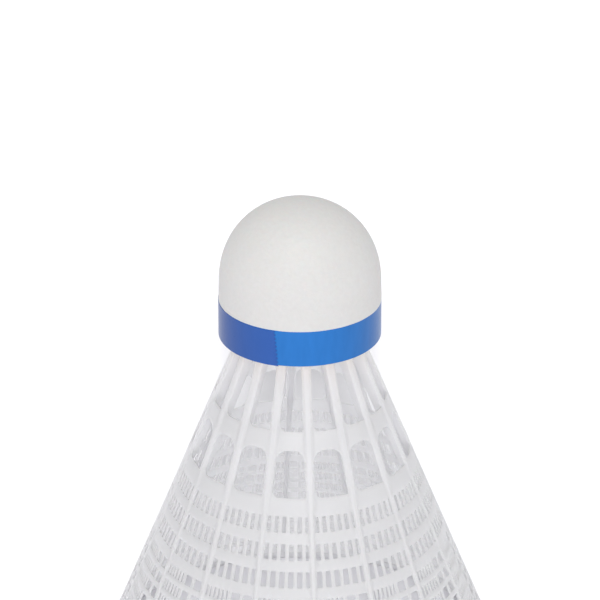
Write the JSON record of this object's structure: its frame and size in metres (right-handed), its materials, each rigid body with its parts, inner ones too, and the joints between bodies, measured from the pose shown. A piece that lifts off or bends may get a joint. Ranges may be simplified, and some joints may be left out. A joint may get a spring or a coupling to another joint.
{
  "type": "badminton shuttlecock",
  "caption": "Synthetic shuttlecock: round-nosed cork head with a skin and a coloured tape band, glued to a moulded nylon skirt that flares to an open rim.",
  "frame": {"origin": "centre of the skirt's rim, on the plane that the rim stands on", "axes": "+Z along the shuttlecock's axis, from the open rim to the nose; one stem of the skirt lies along +X"},
  "size_m": [0.0672, 0.0672, 0.082],
  "materials": {
    "skin": "matte coated fabric with a fine grain",
    "cork": "natural cork, matte",
    "glue": "dried contact glue",
    "tape": "satin film tape",
    "nylon": "translucent natural nylon, satin"
  },
  "bodies": {
    "root": {"nose_skin": "skin", "cork_dome": "cork", "cork_bond": "glue", "cork_base": "cork", "plug_glue": "glue", "speed_band": "tape", "skirt": "nylon"}
  },
  "joints": []
}
